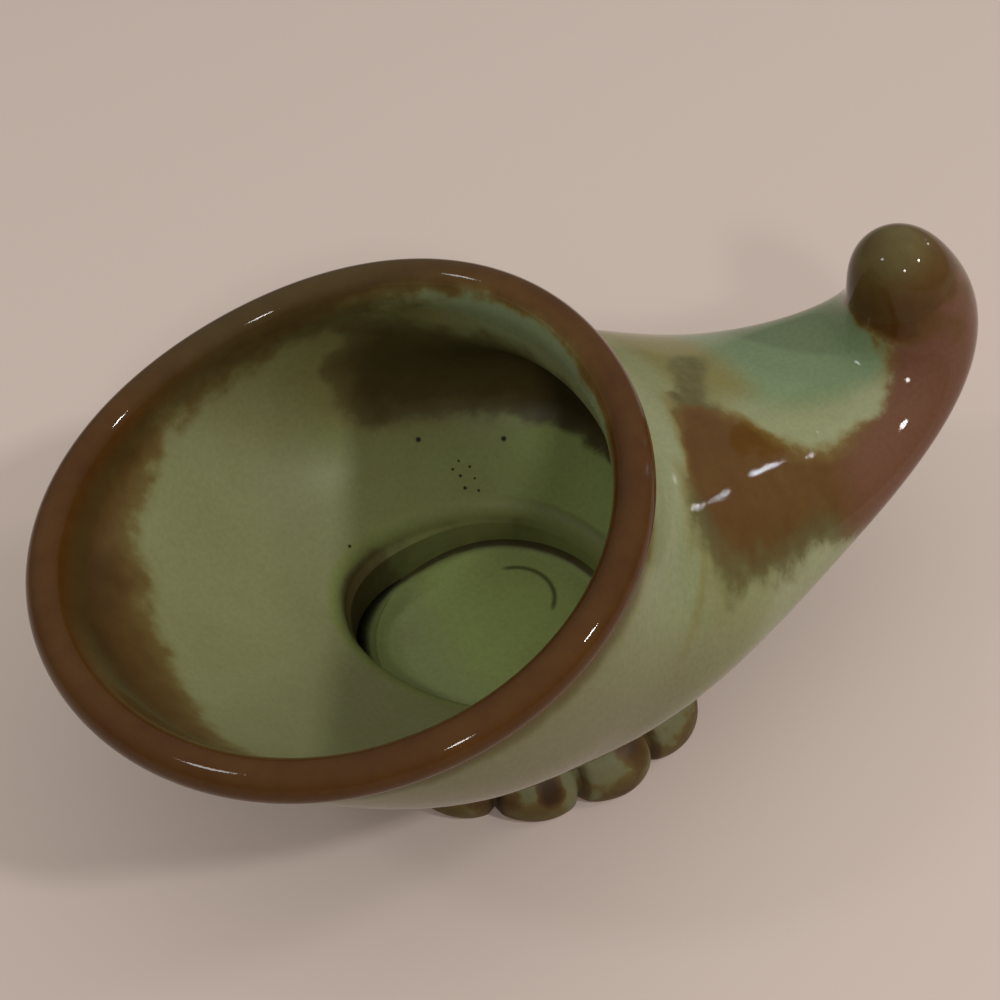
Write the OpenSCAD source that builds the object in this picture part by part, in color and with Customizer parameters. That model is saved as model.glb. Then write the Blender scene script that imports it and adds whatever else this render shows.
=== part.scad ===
// Cornucopia vase: a glazed horn that lies on a round, scalloped foot.
// The round mouth faces up and forward. The tail sweeps back and curls up to a rounded tip.
// Origin: middle of the flat base, on the table. +X runs to the tail and +Z up. Millimetres.

/* [Mouth] */
// Outside diameter of the horn at its mouth, under the rolled lip
mouth_d = 101; // [98:0.5:104]
// How far the middle of the mouth lies ahead of the middle of the foot
mouth_ahead = 29; // [27:0.5:31]
// Height of the middle of the mouth above the table
mouth_h = 55.5; // [54:0.5:58]
// Slope of the mouth, up towards its back, in degrees
mouth_tilt = 13.5; // [11:0.5:16]
// Thickness of the rolled lip
lip_d = 6.5; // [6:0.1:7]

/* [Wall] */
// Thickness of the horn's wall, measured within a section
wall = 5.2; // [4.6:0.1:5.8]

/* [Tail] */
// Distance from the middle of the foot to the middle of the tail's end
tail_x = 81.5; // [80:0.5:83]
// Height of the middle of the tail's end above the table
tail_h = 60.5; // [59:0.5:62]
// Diameter of the tail's end and of its rounded tip
tail_d = 19.6; // [18.6:0.2:20.6]
// How far the tail's end leans back over the horn, in degrees
tail_lean = 29.5; // [26:0.5:33]
// Straight height of the tip, below its dome
tip_rise = 0.8; // [0.4:0.1:2]

/* [Foot] */
// Diameter of the foot ring, inside its lobes
foot_d = 58; // [56:0.5:60]
// Diameter of the sunken well inside the foot
well_d = 45; // [43:0.5:46]
// How far the well's front lies ahead of its round part
well_reach = 6; // [4:0.5:6]
// Diameter of the well's front
well_front_d = 43; // [41:0.5:43]
// Thickness of the floor of the well
floor_t = 6; // [5:0.1:6.5]
// Diameter across the crests of opposite lobes
lobes_d = 77.6; // [75:0.2:79]
// Radius of each rounded lobe
lobe_r = 10.5; // [10:0.1:10.9]
// Height of the top of a lobe above the table
lobe_h = 11.2; // [11:0.1:11.4]
// Width of the groove between two lobes
groove_w = 0.8; // [0.4:0.1:1.4]

/* [Hidden] */
lobe_count = 15;

green_glaze = "DarkSeaGreen";
brown_glaze = "SaddleBrown";
$fn = 120;

// The horn's outline in the plane of symmetry, as control points [x, z] of two smooth lines:
// one along the underside from the front lip, one along the top from the back lip.
mouth_middle = [-mouth_ahead, mouth_h];
mouth_slope = [cos(mouth_tilt), sin(mouth_tilt)];
tail_middle = [tail_x, tail_h];
tail_across = [cos(tail_lean), sin(tail_lean)];
under_line = [
  mouth_middle - mouth_slope * mouth_d / 2,
  [-60, 28.5], [-41, 13.5], [-11, 9], [37, 8], [116, 38],
  tail_middle + tail_across * tail_d / 2
];
upper_line = [
  mouth_middle + mouth_slope * mouth_d / 2,
  [20.5, 57], [27.5, 55], [37.5, 52.5], [58.5, 44], [74.5, 45],
  tail_middle - tail_across * tail_d / 2
];
// Half the horn's width at the same stations
half_width = [mouth_d / 2, 52, 47.5, 45.5, 31, 14.5, tail_d / 2];

// Stations along the horn, from 0 at the mouth to 1 at the tail's end
seam_t = 0.75;      // where the tail joins the bowl
lap_t = 0.03;       // length of the stepped joint there
lute = 0.1;         // room for slip round the stepped joint
cavity_t = 0.88;    // where the hollow in the tail ends
saddle_t = 0.09;    // first station over the foot ring
bowl_steps = 25;
tail_steps = 13;
cavity_steps = 6;
around = 56;
saddle_half = 10;   // facets on each side of the keel that the foot ring is cut to

spigot_d = 10;      // spigot of the tip and its socket in the tail
spigot_l = 7;
lip_rise = 1.5;     // middle of the rolled lip above the edge that it sits on
ledge = 1.5;        // ledge in the foot ring that the floor is set against
ring_top = 16;      // stock height of the foot ring before it is cut to the belly
well_top = 26;      // reach of the well's opening through the belly

// Clamped cubic spline through control points p, at u from 0 to 1
function knot(i, n) = min(max(i - 3, 0), n - 3);
function share(a, b) = b > 0 ? a / b : 0;
function basis(i, d, t, n) =
  d == 0
  ? (knot(i, n) <= t && t < knot(i + 1, n) ? 1 : 0)
  : share(t - knot(i, n), knot(i + d, n) - knot(i, n)) * basis(i, d - 1, t, n)
    + share(knot(i + d + 1, n) - t, knot(i + d + 1, n) - knot(i + 1, n)) * basis(i + 1, d - 1, t, n);
function weights(t, n) = [for (i = [0 : n - 1]) basis(i, 3, t, n)];
function spline(p, u) = u >= 1 ? p[len(p) - 1] : weights(u * (len(p) - 3), len(p)) * p;

// One ring of points round the horn at station t, drawn in from the outside by inset
function section(t, inset) =
  let (
    below = spline(under_line, t),
    above = spline(upper_line, t),
    middle = (below + above) / 2,
    reach = (above - below) / 2,
    rise = reach * (1 - inset / norm(reach)),
    width = spline(half_width, t) - inset
  )
  [for (j = [0 : around - 1])
    let (a = 360 * j / around)
    [middle[0] + rise[0] * cos(a), width * sin(a), middle[1] + rise[1] * cos(a)]];

function stations(from, to, steps) = [for (k = [0 : steps]) from + (to - from) * k / steps];
function flat(lists) = [for (l = lists) each l];

// Triangles between ring r and ring s, each of n points
function band(r, s, n) = flat([for (j = [0 : n - 1])
  let (a = r * n + j, b = r * n + (j + 1) % n, c = s * n + j, d = s * n + (j + 1) % n)
  [[a, b, c], [b, d, c]]]);

// Skin over rings that run back to the first one, as round a shell's outside and inside
module shell(rings) {
  count = len(rings);
  n = len(rings[0]);
  polyhedron(flat(rings), flat([for (r = [0 : count - 1]) band(r, (r + 1) % count, n)]));
}

// Skin over rings in a row, closed at both ends
module loft(rings) {
  count = len(rings);
  n = len(rings[0]);
  first = [for (j = [n - 1 : -1 : 0]) j];
  last = [for (j = [0 : n - 1]) (count - 1) * n + j];
  bands = flat([for (r = [0 : count - 2]) band(r, r + 1, n)]);
  polyhedron(flat(rings), concat([first, last], bands));
}

module at_mouth() {
  translate([mouth_middle[0], 0, mouth_middle[1]]) rotate([0, -mouth_tilt, 0]) children();
}

module at_tail_end() {
  translate([tail_middle[0], 0, tail_middle[1]]) rotate([0, -tail_lean, 0]) children();
}

// The hollow of the well: round, and drawn out a little towards the mouth
module well() {
  cylinder(h = well_top, d = well_d);
  translate([-well_reach, 0, 0]) cylinder(h = well_top, d = well_front_d);
}

// The bowl of the horn, with a stepped end for the tail and an opening over the well
module horn_bowl() {
  outside = [for (t = stations(0, seam_t, bowl_steps)) section(t, 0)];
  step = [section(seam_t, wall / 2), section(seam_t - lap_t, wall / 2)];
  inside = [for (t = stations(seam_t - lap_t, 0, bowl_steps)) section(t, wall)];
  color(green_glaze) difference() {
    shell(concat(outside, step, inside));
    well();
  }
}

// The rolled lip, on the flat edge of the bowl
module mouth_rim() {
  middle_r = mouth_d / 2 - wall + lip_d / 2;
  color(brown_glaze) at_mouth() rotate_extrude() intersection() {
    translate([middle_r, lip_rise]) circle(d = lip_d);
    translate([middle_r - lip_d, 0]) square([2 * lip_d, lip_d]);
  }
}

// The tail, hollow where it joins the bowl, with a socket for the tip
module tail() {
  hollow = [for (t = stations(cavity_t, seam_t - lap_t, cavity_steps)) section(t, wall)];
  step = [section(seam_t - lap_t, wall / 2 + lute), section(seam_t, wall / 2 + lute)];
  outside = [for (t = stations(seam_t, 1, tail_steps)) section(t, 0)];
  color(green_glaze) difference() {
    loft(concat(hollow, step, outside));
    at_tail_end() translate([0, 0, -spigot_l]) cylinder(h = 2 * spigot_l, d = spigot_d);
  }
}

// The rounded tip, with its spigot
module tail_tip() {
  color(brown_glaze) at_tail_end() rotate_extrude() {
    translate([0, -spigot_l]) square([spigot_d / 2, spigot_l]);
    square([tail_d / 2, tip_rise]);
    translate([0, tip_rise]) intersection() {
      circle(d = tail_d);
      square(tail_d / 2);
    }
  }
}

// The underside of the belly over the foot, as a closed solid of the bowl's own facets
module belly() {
  keel = around / 2;
  loft([for (t = stations(0, seam_t, bowl_steps)) if (t > saddle_t)
    let (ring = section(t, 0))
    [for (j = [keel - saddle_half : keel + saddle_half]) ring[j]]]);
}

// The foot ring, cut on top to the shape of the belly and rebated below for the floor
module foot_ring() {
  color(green_glaze) difference() {
    cylinder(h = ring_top, d = foot_d);
    translate([0, 0, floor_t]) well();
    translate([0, 0, -floor_t]) cylinder(h = 2 * floor_t, d = well_d + 2 * ledge);
    belly();
  }
}

// The floor of the well, which is also the flat base
module foot_floor() {
  color(green_glaze) cylinder(h = floor_t, d = well_d + 2 * ledge);
}

// One lobe of the scalloped foot: a rounded pad between two grooves, the first under the mouth
module foot_lobe(k) {
  half_pitch = 180 / lobe_count;
  apex = groove_w / 2 / sin(half_pitch);
  reach = lobes_d;
  color(green_glaze) rotate([0, 0, 180 + (k - 1) * 2 * half_pitch]) difference() {
    intersection() {
      // poles towards the grooves
      translate([lobes_d / 2 - lobe_r, 0, lobe_h - lobe_r]) rotate([90, 0, 0]) sphere(r = lobe_r);
      linear_extrude(height = lobe_h + 1) polygon([
        [apex, 0],
        [apex + reach * cos(half_pitch), -reach * sin(half_pitch)],
        [apex + reach * cos(half_pitch), reach * sin(half_pitch)]
      ]);
    }
    cylinder(h = 2 * lobe_h, d = foot_d);
  }
}

horn_bowl();
mouth_rim();
tail();
tail_tip();
foot_ring();
foot_floor();
for (k = [1 : lobe_count])
  foot_lobe(k);
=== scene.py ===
import bpy
import math
import numpy as np
from mathutils import Matrix, Vector, noise


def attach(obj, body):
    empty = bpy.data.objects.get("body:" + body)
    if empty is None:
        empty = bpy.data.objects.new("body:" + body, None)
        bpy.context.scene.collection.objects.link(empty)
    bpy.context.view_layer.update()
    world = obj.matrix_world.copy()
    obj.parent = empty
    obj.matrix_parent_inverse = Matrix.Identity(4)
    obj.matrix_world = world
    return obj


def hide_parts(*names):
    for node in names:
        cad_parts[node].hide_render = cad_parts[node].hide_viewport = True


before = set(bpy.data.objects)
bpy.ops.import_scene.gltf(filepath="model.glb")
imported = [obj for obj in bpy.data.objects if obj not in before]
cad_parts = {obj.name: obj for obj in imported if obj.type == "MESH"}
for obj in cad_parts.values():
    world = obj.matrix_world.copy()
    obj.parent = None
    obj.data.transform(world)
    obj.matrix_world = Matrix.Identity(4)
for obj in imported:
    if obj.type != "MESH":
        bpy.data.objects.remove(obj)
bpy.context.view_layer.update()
mm = 0.001  # shapes below are drawn in millimetres, Blender gets metres
fullTurn = 2 * math.pi
smallStep, tinyStep = 1e-3, 1e-4  # steps on the horn that speeds and directions are taken over
lastNormal = 1 - 2 * tinyStep  # last station that a normal is taken at
searchSteps = 40  # halvings in the search for a place on the belly
cornerPull = 0.6  # how far a rounded edge is drawn towards its corner
print("frame:", len(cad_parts), "nodes")

# The horn: two smooth lines in the plane of symmetry, and the half width beside them
horn = {
    "mouthMiddle": (-29, 55.5), "mouthTilt": 13.5, "mouthWide": 101,
    "underPoints": [(-60, 28.5), (-41, 13.5), (-11, 9), (37, 8), (116, 38)],
    "upperPoints": [(20.5, 57), (27.5, 55), (37.5, 52.5), (58.5, 44), (74.5, 45)],
    "halfWidths": [52, 47.5, 45.5, 31, 14.5],
    "tailMiddle": (81.5, 60.5), "tailLean": 29.5, "tailWide": 19.6,
    "wall": 5.2, "seam": 0.75, "lap": 0.03, "lute": 0.1,  # stepped joint of the tail, with room for slip
    "hollowEnd": 0.88, "hollowRound": 0.05, "hollowRows": 24, "hollowTurn": 10,  # the hollow in the tail
    "around": 240, "bowlRows": 112, "tailRows": 52,
    "wobble": 0.85, "wobbleTurn": 16, "squareness": 0.25, "wobbleFade": 0.3,  # hand-finished mouth
}


def flatDirection(degrees):
    return np.array([math.cos(math.radians(degrees)), math.sin(math.radians(degrees))])


def unit(vectors):
    return vectors / np.linalg.norm(vectors, axis=-1, keepdims=True)


mouthMiddle = np.array(horn["mouthMiddle"], float)
tailMiddle = np.array(horn["tailMiddle"], float)
mouthSlope = flatDirection(horn["mouthTilt"])
tailAcross = flatDirection(horn["tailLean"])
mouthUp = np.array([-mouthSlope[1], 0, mouthSlope[0]])  # square to the mouth
tailUp = np.array([-tailAcross[1], 0, tailAcross[0]])  # square to the tail's end
mouthHalf, tailHalf = horn["mouthWide"] / 2, horn["tailWide"] / 2
mouthEdge, tailEdge = mouthSlope * mouthHalf, tailAcross * tailHalf
underLine = np.array([mouthMiddle - mouthEdge, *horn["underPoints"], tailMiddle + tailEdge])
upperLine = np.array([mouthMiddle + mouthEdge, *horn["upperPoints"], tailMiddle - tailEdge])
halfWidth = np.array([mouthHalf, *horn["halfWidths"], tailHalf])
wall, seam, lapEnd, around = horn["wall"], horn["seam"], horn["seam"] - horn["lap"], horn["around"]
turnAngles = np.arange(around) * fullTurn / around  # 0 at the back lip, half a turn along the keel


def splineWeights(count, stations):  # clamped cubic spline
    knots = np.concatenate([[0] * 3, np.arange(count - 2), [count - 3] * 3]).astype(float)
    t = np.clip(stations, 0, 1 - 1e-9) * (count - 3)
    weights = [np.where((knots[i] <= t) & (t < knots[i + 1]), 1.0, 0.0) for i in range(len(knots) - 1)]
    for degree in (1, 2, 3):
        raised = []
        for i in range(len(weights) - 1):
            rising, falling = knots[i + degree] - knots[i], knots[i + degree + 1] - knots[i + 1]
            value = np.zeros_like(t)
            if rising > 0:
                value += (t - knots[i]) / rising * weights[i]
            if falling > 0:
                value += (knots[i + degree + 1] - t) / falling * weights[i + 1]
            raised.append(value)
        weights = raised
    return np.array(weights).T


def widthAt(station):  # half the horn's width
    return splineWeights(len(halfWidth), station) @ halfWidth


def mouthSwell(angle):  # how far the mouth stands out of round
    threeLobed = horn["wobble"] * np.sin(3 * angle - math.radians(horn["wobbleTurn"]))
    return threeLobed - horn["squareness"] * np.cos(4 * angle)


def hornPoint(station, angle, inset=0.0):  # station 0 at the mouth, 1 at the tail's end
    station, angle, inset = np.broadcast_arrays(*(np.asarray(x, float) for x in (station, angle, inset)))
    shape = station.shape
    station, angle, inset = station.ravel(), angle.ravel(), inset.ravel()
    weights = splineWeights(len(halfWidth), station)
    below, above, width = weights @ underLine, weights @ upperLine, weights @ halfWidth
    middle, reach = (below + above) / 2, (above - below) / 2
    grown = mouthSwell(angle) * np.clip(1 - station / horn["wobbleFade"], 0, 1) ** 2 - inset
    rise = reach * (1 + grown / np.linalg.norm(reach, axis=1))[:, None]
    x = middle[:, 0] + rise[:, 0] * np.cos(angle)
    y = (width + grown) * np.sin(angle)
    z = middle[:, 1] + rise[:, 1] * np.cos(angle)
    return np.stack([x, y, z], -1).reshape(*shape, 3)


def hornNormal(station, angle, inset=0.0, inward=False):
    station, angle = np.asarray(station, float), np.asarray(angle, float)
    along = hornPoint(station + tinyStep, angle, inset) - hornPoint(station - tinyStep, angle, inset)
    across = hornPoint(station, angle + tinyStep, inset) - hornPoint(station, angle - tinyStep, inset)
    normal = unit(np.cross(along, across))
    return -normal if inward else normal


def underside(x, y, inset):  # station and angle of the point on the belly over x, y
    low, high = np.zeros_like(x), np.full_like(x, seam)
    for halving in range(searchSteps):
        station = (low + high) / 2
        angle = math.pi - np.arcsin(np.clip(y / (widthAt(station) - inset), -1, 1))
        short = hornPoint(station, angle, inset)[:, 0] < x
        low, high = np.where(short, station, low), np.where(short, high, station)
    return station, angle


# Meshes are gathered as points and faces
outsideMark, insideMark, lipMark, wellMark, tipMark, floorMark, ringMark, lobeMark = range(8)
skins = {}  # points and glaze marks of each piece


class Skin:
    def __init__(self):
        self.points, self.marks, self.faces, self.normals, self.count = [], [], [], {}, 0

    def add(self, points, mark, station=0.0, angle=0.0):  # returns the points' numbers, in the same layout
        points = np.asarray(points, float)
        numbers = self.count + np.arange(points[..., 0].size).reshape(points.shape[:-1])
        marks = np.zeros(points.shape)
        marks[..., 0], marks[..., 1], marks[..., 2] = mark, station, angle
        self.points.append(points.reshape(-1, 3))
        self.marks.append(marks.reshape(-1, 3))
        self.count += numbers.size
        return numbers

    def at(self, numbers):
        return np.concatenate(self.points)[numbers]

    def face(self, numbers, normals):  # fixes the way that points face
        self.normals.update(zip(numbers.ravel().tolist(), np.asarray(normals).reshape(-1, 3)))

    def bridge(self, first, second):  # faces between two closed rings
        self.faces += np.stack([first, second, np.roll(second, -1), np.roll(first, -1)], -1).tolist()

    def rings(self, numbers):
        for first, second in zip(numbers[:-1], numbers[1:]):
            self.bridge(first, second)

    def fan(self, ring, tip, turned=False):  # closes a ring to a point
        first, last = ring, np.roll(ring, -1)
        if turned:
            first, last = last, first
        self.faces += np.stack([first, np.full_like(ring, tip), last], -1).tolist()

    def piece(self, name):
        mesh = bpy.data.meshes.new(name)
        points, wanted = np.concatenate(self.points), np.zeros((self.count, 3))
        if self.normals:
            wanted[list(self.normals)] = list(self.normals.values())
        used = np.zeros(self.count, bool)  # grid points inside an opening are dropped
        for face in self.faces:
            used[face] = True
        places = np.cumsum(used) - 1
        points, wanted = points[used], wanted[used]
        skins[name] = points, np.concatenate(self.marks)[used]
        faces = [places[face].tolist() for face in self.faces]
        volume = sum(np.dot(points[f[0]], np.cross(points[f[i]], points[f[i + 1]])) / 6
                     for f in faces for i in range(1, len(f) - 1))
        mesh.from_pydata((points * mm).tolist(), [], faces)
        if volume < 0:
            mesh.flip_normals()
        mesh.shade_smooth()
        if self.normals:  # shared with the neighbour, so that no seam shows
            mesh.normals_split_custom_set_from_vertices(wanted.tolist())
        obj = bpy.data.objects.new(name, mesh)
        bpy.context.scene.collection.objects.link(obj)
        print(f"{name}: {len(points)} points, {len(faces)} faces, {abs(volume) / 1000:.1f} cm3")
        return obj


def bezier(a, b, c, d, steps):  # rows of points from a to d
    s = np.linspace(0, 1, steps + 1).reshape(-1, *([1] * np.asarray(a).ndim))
    return a * (1 - s) ** 3 + 3 * b * s * (1 - s) ** 2 + 3 * c * s ** 2 * (1 - s) + d * s ** 3


def roundedEdge(start, corner, end, steps):  # turns near the corner without reaching it
    return bezier(start, start + (corner - start) * cornerPull, end + (corner - end) * cornerPull, end, steps)


# The sunken well: round, drawn out to the far front, with a soft edge rolled into the bowl
well = {
    "round": 22.4, "drawnOut": 5.0, "drawnTowards": 158, "drawnTight": 6,
    "slope": 0.7, "farSlope": 2.6, "farTowards": 130, "farTight": 8,
    "roll": 3.2, "brim": 14.5, "seamHeight": 10.0, "floorTop": 5.5, "floorRound": 2.2,
    "rollSteps": 7, "wallSteps": 6, "spokeSteps": 16, "blockColumns": 34, "blockFront": -37, "blockBack": 33,
}


def lobeTowards(theta, towards, tight):
    return np.clip(np.cos(theta - math.radians(towards)), 0, 1) ** tight


def wellReach(theta, z):  # distance of the well's wall from the middle of the foot
    level = (z - well["floorTop"]) / (well["brim"] - well["floorTop"])
    base = well["round"] + well["drawnOut"] * lobeTowards(theta, well["drawnTowards"], well["drawnTight"])
    slope = well["slope"] + well["farSlope"] * lobeTowards(theta, well["farTowards"], well["farTight"])
    return base + slope * level


def polar(reach, theta, z):
    return np.stack([reach * np.cos(theta), reach * np.sin(theta), z + 0 * theta], -1)


def towardsAxis(theta):
    return -polar(1.0, theta, 0.0)


# The rolled lip, which the bowl's skins run up to
lip = {
    "thick": 6.5, "rise": 1.5, "drop": 1.7, "insideDrop": 6.5, "beadFrom": -12, "beadTo": 158,
    "beadSteps": 26, "filletSteps": 10, "handle": 0.4,
}


def lipSpeed(angle, inset):  # millimetres for each station, at the mouth
    step = hornPoint(smallStep, angle, inset) - hornPoint(0, angle, inset)
    return np.linalg.norm(step, axis=-1) / smallStep


def lipStation(inset):  # where the skin ends under the lip
    return lip["insideDrop" if inset > 0 else "drop"] / lipSpeed(turnAngles, inset)


def skinStations(inset, last, rows):
    first = lipStation(inset)
    return first + (last - first) * np.linspace(0, 1, rows + 1)[:, None]


def blockLoop(top, bottom, left, right):  # grid places round a block of the bowl's skin
    rows, columns = range(top, bottom), range(left, right)
    return ([(top, c) for c in columns] + [(r, right) for r in rows]
            + [(bottom, c) for c in range(right, left, -1)] + [(r, left) for r in range(bottom, top, -1)])


def gridWithBlock(skin, numbers, block, turned=False):  # faces of the bowl's skin outside the block
    top, bottom, left, right = block
    for r in range(len(numbers) - 1):
        for c in range(around):
            if not (top <= r < bottom and left <= c < right):
                d = (c + 1) % around
                face = [numbers[r, c], numbers[r + 1, c], numbers[r + 1, d], numbers[r, d]]
                skin.faces.append(face[::-1] if turned else face)


def makeHornBowl():
    skin, rows, keel = Skin(), horn["bowlRows"], around // 2
    grids = {}
    for inset, last, mark in ((0.0, seam, outsideMark), (wall, lapEnd, insideMark)):
        stations = skinStations(inset, last, rows)
        angles = np.broadcast_to(turnAngles, stations.shape)
        points = hornPoint(stations, angles, inset)
        numbers = skin.add(points, mark, stations, angles)
        normals = hornNormal(stations, angles, inset, inset > 0)
        skin.face(numbers[[0, -1]], normals[[0, -1]])
        grids[inset] = stations, angles, numbers, mark
    inside = points  # of the inner skin, which comes last
    keelLine = inside[:, keel, 0]
    top, bottom = (int(np.searchsorted(keelLine, well[end])) for end in ("blockFront", "blockBack"))
    block = top, bottom, keel - well["blockColumns"], keel + well["blockColumns"]
    loop = blockLoop(*block)
    theta = np.array([math.atan2(inside[place][1], inside[place][0]) for place in loop])
    shares = np.linspace(0, 1, well["spokeSteps"] + 1)[1:]

    def spokes(inset, reach):  # rings from the block's edge in to the opening
        stations, angles, numbers, mark = grids[inset]
        start = np.array([[stations[place], angles[place]] for place in loop])
        end = np.stack(underside(reach * np.cos(theta), reach * np.sin(theta), inset), -1)
        ways = start + (end - start) * shares[:, None, None]
        added = skin.add(hornPoint(ways[..., 0], ways[..., 1], inset), mark, ways[..., 0], ways[..., 1])
        return [np.array([numbers[place] for place in loop]), *added]

    brimReach = wellReach(theta, well["brim"])
    inner = spokes(wall, brimReach + well["roll"])
    corner = hornPoint(*underside(brimReach * np.cos(theta), brimReach * np.sin(theta), wall), wall)
    sunk = corner[:, 2] - well["roll"]
    wallTop = polar(wellReach(theta, sunk), theta, sunk)
    roll = roundedEdge(skin.at(inner[-1]), corner, wallTop, well["rollSteps"])[1:]
    inner += list(skin.add(roll, wellMark, np.linspace(0, 1, len(roll) + 1)[1:, None], theta))
    outer = spokes(0.0, wellReach(theta, well["seamHeight"]))
    wallFoot = skin.at(outer[-1])
    drop = np.linspace(0, 1, well["wallSteps"] + 1)[1:-1, None, None]
    inner += list(skin.add(wallTop + (wallFoot - wallTop) * drop, wellMark, 1 + drop[..., 0], theta))
    outer[-1] = skin.add(wallFoot, wellMark, 2.0, theta)
    skin.face(outer[-1], towardsAxis(theta))
    skin.rings([*inner, outer[-1]])
    skin.rings(outer[::-1])
    numbersIn, numbersOut = grids[wall][2], grids[0.0][2]
    gridWithBlock(skin, numbersIn, block)
    gridWithBlock(skin, numbersOut, block, turned=True)
    lapPoints = hornPoint(np.array([[seam], [lapEnd]]), turnAngles, wall / 2)
    step = skin.add(lapPoints, insideMark, seam, turnAngles)
    skin.rings([numbersIn[-1], step[1], step[0], numbersOut[-1]])
    skin.rings([numbersOut[0], numbersIn[0]])
    return skin.piece("hornBowl")


def makeMouthRim():
    skin = Skin()
    ahead, aside = np.cos(turnAngles), np.sin(turnAngles)
    radial = np.stack([mouthSlope[0] * ahead, aside, mouthSlope[1] * ahead], -1)
    centre = np.array([mouthMiddle[0], 0, mouthMiddle[1]]) + mouthUp * lip["rise"]
    centre = centre + radial * (mouthHalf + mouthSwell(turnAngles) - wall + lip["thick"] / 2)[:, None]
    bead = np.radians(np.linspace(lip["beadFrom"], lip["beadTo"], lip["beadSteps"] + 1))[:, None, None]
    roll = centre + lip["thick"] / 2 * (np.cos(bead) * radial + np.sin(bead) * mouthUp)
    turned = -np.sin(bead) * radial + np.cos(bead) * mouthUp  # the way round the bead, to the inside

    def fillet(inset, end, away):  # rows from the bowl's skin up to an end of the bead
        station = lipStation(inset)
        edge = hornPoint(station, turnAngles, inset)
        upward = unit(hornPoint(station / 2, turnAngles, inset) - edge)
        span = np.linalg.norm(end - edge, axis=-1, keepdims=True) * lip["handle"]
        return bezier(edge, edge + upward * span, end + away * span, end, lip["filletSteps"])

    outFillet, inFillet = fillet(0.0, roll[0], -turned[0]), fillet(wall, roll[-1], turned[-1])
    rows = np.concatenate([outFillet, roll[1:], inFillet[-2::-1]])
    length = np.cumsum(np.linalg.norm(np.diff(rows, axis=0, prepend=rows[:1]), axis=-1), 0)
    lip["girth"] = length[-1]  # measured over the lip, from the outside seam to the inside one
    numbers = skin.add(rows, lipMark, length, turnAngles)
    skin.face(numbers[0], hornNormal(lipStation(0.0), turnAngles))
    skin.face(numbers[-1], hornNormal(lipStation(wall), turnAngles, wall, inward=True))
    skin.rings(numbers)
    skin.bridge(numbers[-1], numbers[0])
    return skin.piece("mouthRim")


def makeTail():
    skin = Skin()
    stations = np.linspace(seam, 1, horn["tailRows"] + 1)[:, None]
    points = hornPoint(stations, turnAngles)
    normals = hornNormal(np.minimum(stations, lastNormal), turnAngles)
    outer = skin.add(points, outsideMark, stations, turnAngles)
    skin.face(outer[[0, -1]], normals[[0, -1]])
    skin.rings(outer)
    skin.fan(outer[-1], skin.add(points[-1:].mean(1), outsideMark, 1)[0])
    lapPoints = hornPoint(np.array([[lapEnd], [seam]]), turnAngles, wall / 2 + horn["lute"])
    step = skin.add(lapPoints, insideMark, seam, turnAngles)
    deep = horn["hollowEnd"]
    hollow = hornPoint(np.linspace(lapEnd, deep, horn["hollowRows"])[:, None], turnAngles, wall)
    rounding = np.radians(np.arange(horn["hollowTurn"], 90, horn["hollowTurn"]))
    ends = hornPoint(deep + horn["hollowRound"] * np.sin(rounding)[:, None], turnAngles, wall)
    centres = ends.mean(1, keepdims=True)
    ends = centres + (ends - centres) * np.cos(rounding)[:, None, None]
    start = skin.add(hollow[0], insideMark, lapEnd, turnAngles)
    skin.face(start, hornNormal(lapEnd, turnAngles, wall, inward=True))
    inner = skin.add(np.concatenate([hollow[1:], ends]), insideMark, deep, turnAngles)
    last = hornPoint(deep + horn["hollowRound"], turnAngles, wall).mean(0)
    pole = skin.add(last[None], insideMark, deep)[0]
    skin.rings([*inner[::-1], start, step[0], step[1], outer[0]])
    skin.fan(inner[-1], pole, turned=True)
    return skin.piece("tailSweep")


tip = {"height": 10.6, "steps": 26, "baseHandle": 0.56, "crownHandle": 0.58}


def makeTailTip():
    skin = Skin()
    base = hornPoint(1, turnAngles)
    leave = unit(base - hornPoint(1 - smallStep, turnAngles))
    centre = np.array([tailMiddle[0], 0, tailMiddle[1]])
    crown = centre + tailUp * tip["height"]
    rise, spread = leave * tip["height"] * tip["baseHandle"], (base - centre) * tip["crownHandle"]
    rows = bezier(base, base + rise, crown + spread, np.broadcast_to(crown, base.shape), tip["steps"])
    height = np.linspace(0, 1, len(rows))[:, None]
    numbers = skin.add(rows[:-1], tipMark, height[:-1], turnAngles)
    skin.face(numbers[0], hornNormal(lastNormal, turnAngles))
    skin.rings(numbers)
    skin.fan(numbers[-1], skin.add(crown[None], tipMark, 1)[0])
    skin.fan(numbers[0], skin.add(centre[None], tipMark)[0], turned=True)
    return skin.piece("tailTip")


foot = {
    "ring": 58, "ledge": 44.4, "ledgeTop": 4.6, "ledgeFall": 0.1, "fillet": 1.6, "bevel": 0.1,
    "steps": 180, "filletSteps": 6, "saddleSteps": 6,
}
footTurn = np.arange(foot["steps"]) * fullTurn / foot["steps"]


def bellyOver(reach, theta):
    station, angle = underside(reach * np.cos(theta), reach * np.sin(theta), 0.0)
    return hornPoint(station, angle)[:, 2]


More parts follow.
